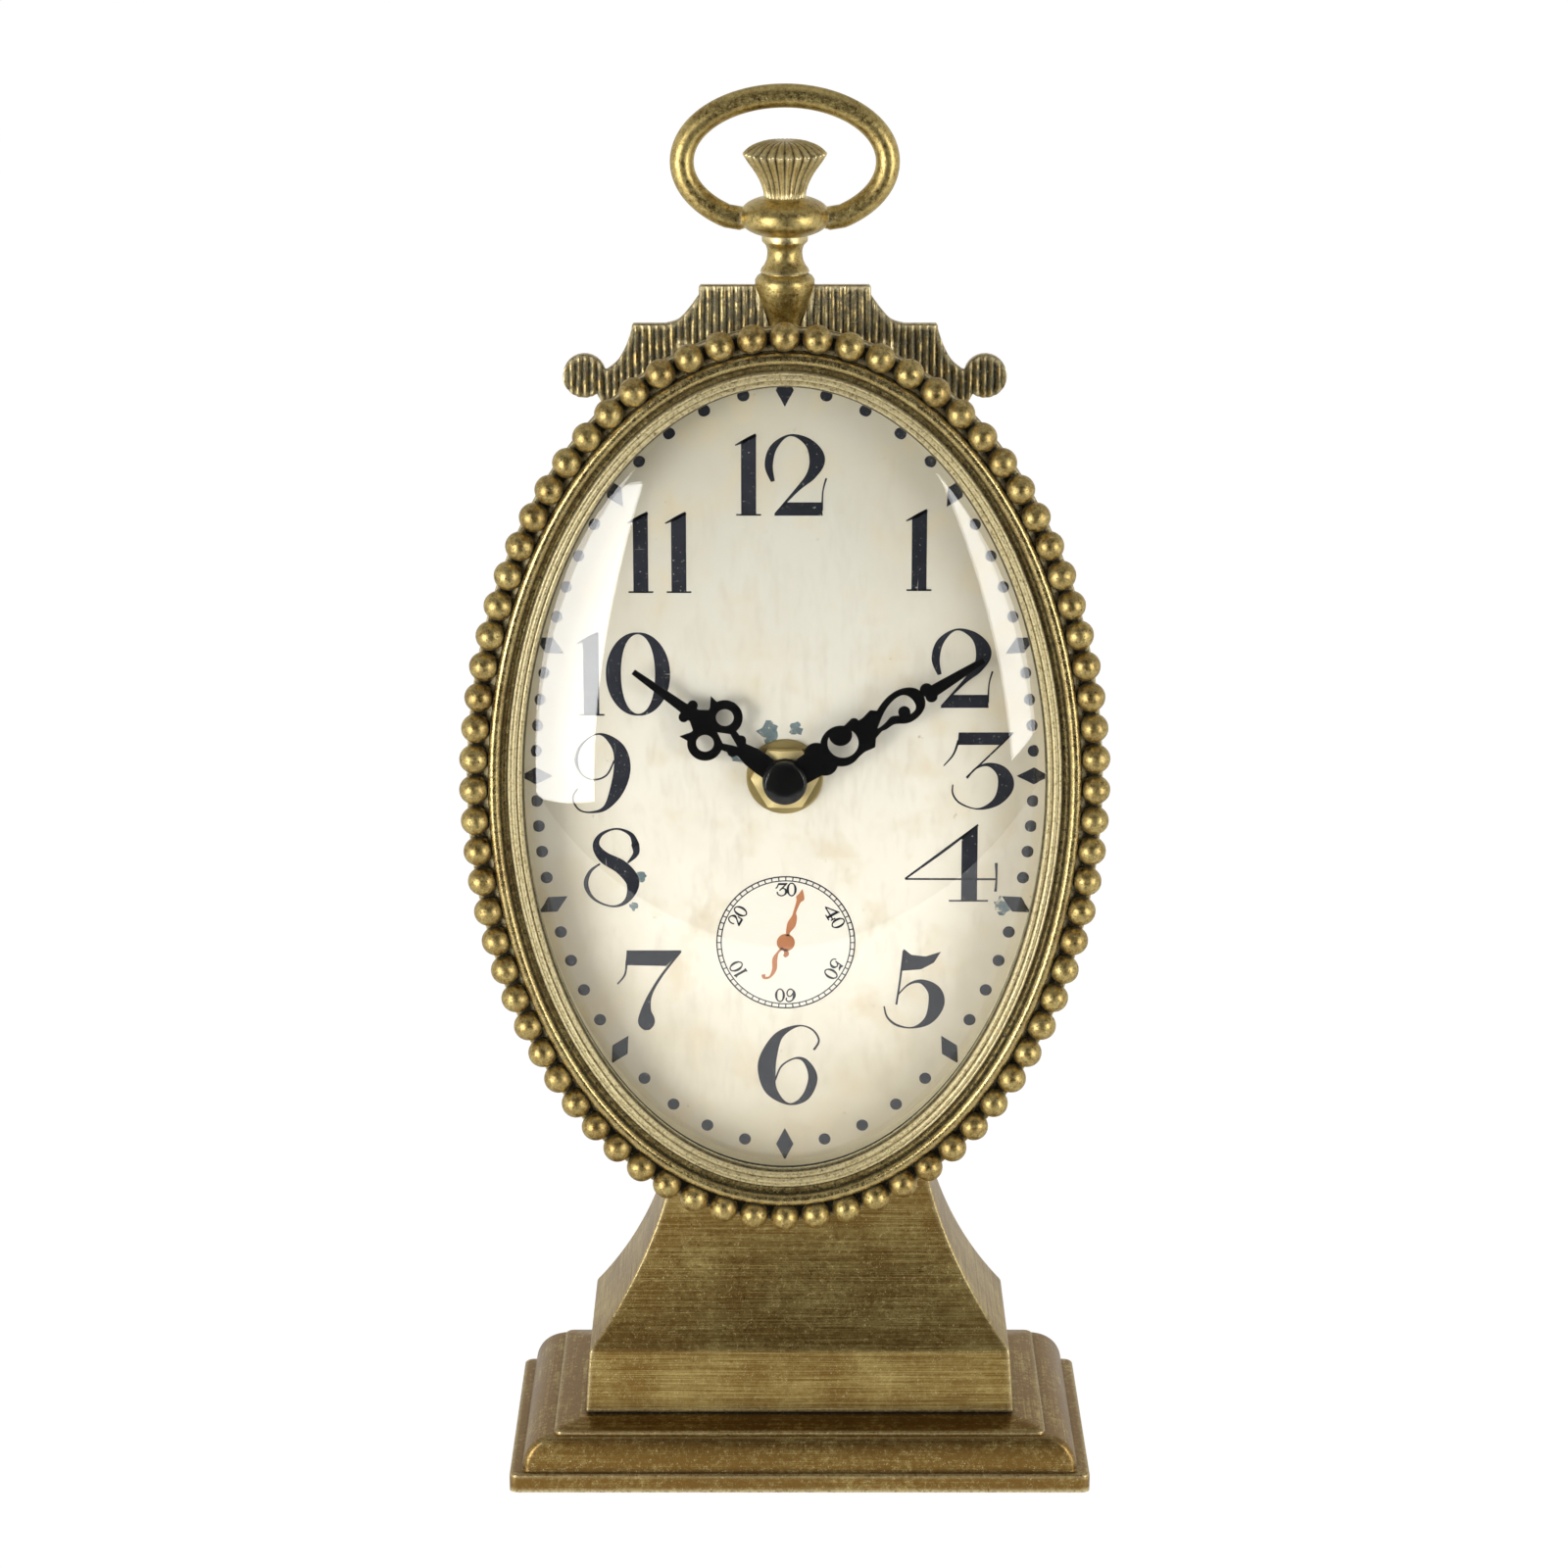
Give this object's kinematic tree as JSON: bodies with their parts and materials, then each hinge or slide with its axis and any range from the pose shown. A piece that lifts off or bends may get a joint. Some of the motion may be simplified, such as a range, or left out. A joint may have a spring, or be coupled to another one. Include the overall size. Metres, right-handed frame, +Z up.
{
  "type": "oval shelf clock",
  "caption": "Oval clock shaped like a pocket watch with a beaded rim, domed glass, crown and bow ring, on a hollow-sided pedestal and a moulded rectangular foot.",
  "frame": {"origin": "on the table, under the middle of the oval case: the bottom centre of the bounding box", "axes": "+Z up, front of the dial towards -Y, +X to the viewer's right when facing the dial"},
  "size_m": [0.1274, 0.0584, 0.2796],
  "materials": {
    "antique_gold_stand": "antique gold, brushed, worn edges",
    "antique_gold_case": "antique gold, satin",
    "antique_gold_beads": "antique gold, polished high spots over dark patina",
    "antique_gold_pendant": "antique gold, polished high spots",
    "clear_glass": "clear domed glass",
    "cream_spacer": "cream paint",
    "dial_card": "aged cream card",
    "dial_metal": "mill finish",
    "black_hands": "black, semi matte",
    "bright_brass": "bright turned brass",
    "black_rubber": "matte",
    "black_plastic": "moulded, slight texture",
    "white_plastic": "moulded",
    "steel": "plain steel",
    "copper_coil": "wound enamelled wire",
    "circuit_board": "green laminate",
    "battery_wrap": "plain printed wrap",
    "green_felt": "short felt"
  },
  "bodies": {
    "clock": {"base_foot": "antique_gold_stand", "felt_pad": "green_felt", "foot_screws": "steel", "pedestal": "antique_gold_stand", "saddle_screws": "steel", "case_drum": "antique_gold_case", "bead_rim": "antique_gold_beads", "bezel_ring": "antique_gold_case", "glass_lens": "clear_glass", "lens_gasket": "black_rubber", "dial_spacer": "cream_spacer", "dial_card": "dial_card", "dial_plate": "dial_metal", "back_cover": "antique_gold_case", "back_cover_screws": "steel", "cresting_plate": "antique_gold_case", "cresting_screws": "steel", "pendant_neck": "antique_gold_pendant", "pendant_knop": "antique_gold_pendant", "fluted_crown": "antique_gold_pendant", "pendant_stud": "steel", "pendant_nut": "steel", "dial_washer": "bright_brass", "dial_hex_nut": "bright_brass", "rubber_washer": "black_rubber", "movement_front": "black_plastic", "movement_back": "black_plastic", "train_plate": "white_plastic", "train_bridge": "white_plastic", "drive_coil": "copper_coil", "stator_plate": "steel", "circuit_board": "circuit_board", "battery_contacts": "steel"},
    "bow": {"bow_ring": "antique_gold_pendant"},
    "minute": {"minute_hand": "black_hands", "hand_cap": "black_hands", "minute_arbor": "bright_brass"},
    "hour": {"hour_hand": "black_hands", "hour_wheel": "white_plastic"},
    "motion": {"motion_wheel": "white_plastic"},
    "setting": {"setting_stem": "white_plastic", "setting_knob": "white_plastic"},
    "centre": {"centre_wheel": "white_plastic"},
    "third": {"third_wheel": "white_plastic"},
    "second": {"second_wheel": "white_plastic"},
    "idler": {"idler_wheel": "white_plastic"},
    "rotor": {"rotor": "white_plastic"},
    "battery_cell": {"battery": "battery_wrap"}
  },
  "joints": [
    {"name": "bow_swing", "type": "hinge", "parent": "clock", "child": "bow", "pos_m": [0, 0, 0.25393], "axis": [1, 0, 0], "range_deg": [-90, 90]},
    {"name": "minute_turn", "type": "hinge", "parent": "clock", "child": "minute", "pos_m": [0, 0, 0.14422], "axis": [0, 1, 0], "continuous": true},
    {"name": "hour_turn", "type": "hinge", "parent": "clock", "child": "hour", "pos_m": [0, 0, 0.14422], "axis": [0, 1, 0], "continuous": true},
    {"name": "motion_turn", "type": "hinge", "parent": "clock", "child": "motion", "pos_m": [0.01, 0, 0.14422], "axis": [0, 1, 0], "continuous": true},
    {"name": "setting_turn", "type": "hinge", "parent": "clock", "child": "setting", "pos_m": [0.0205, 0, 0.14422], "axis": [0, 1, 0], "continuous": true},
    {"name": "rotor_turn", "type": "hinge", "parent": "clock", "child": "rotor", "pos_m": [0.01279, 0, 0.15558], "axis": [0, 1, 0], "continuous": true},
    {"name": "idler_turn", "type": "hinge", "parent": "clock", "child": "idler", "pos_m": [0.0049, 0, 0.1527], "axis": [0, 1, 0], "continuous": true},
    {"name": "second_turn", "type": "hinge", "parent": "clock", "child": "second", "pos_m": [0, 0, 0.14422], "axis": [0, 1, 0], "continuous": true},
    {"name": "third_turn", "type": "hinge", "parent": "clock", "child": "third", "pos_m": [-0.00661, 0, 0.15365], "axis": [0, 1, 0], "continuous": true},
    {"name": "centre_turn", "type": "hinge", "parent": "clock", "child": "centre", "pos_m": [0, 0, 0.14422], "axis": [0, 1, 0], "continuous": true},
    {"name": "battery_slide", "type": "slide", "parent": "clock", "child": "battery_cell", "axis": [0, 1, 0], "range_m": [0, 0.018]}
  ],
  "couplings": [
    {"joint": "motion_turn", "follows": "minute_turn", "ratio": -0.33333},
    {"joint": "hour_turn", "follows": "minute_turn", "ratio": 0.083333},
    {"joint": "setting_turn", "follows": "minute_turn", "ratio": 0.83333},
    {"joint": "rotor_turn", "follows": "idler_turn", "ratio": -5},
    {"joint": "second_turn", "follows": "idler_turn", "ratio": -0.16667},
    {"joint": "third_turn", "follows": "idler_turn", "ratio": 0.022222},
    {"joint": "centre_turn", "follows": "idler_turn", "ratio": -0.0027778}
  ]
}
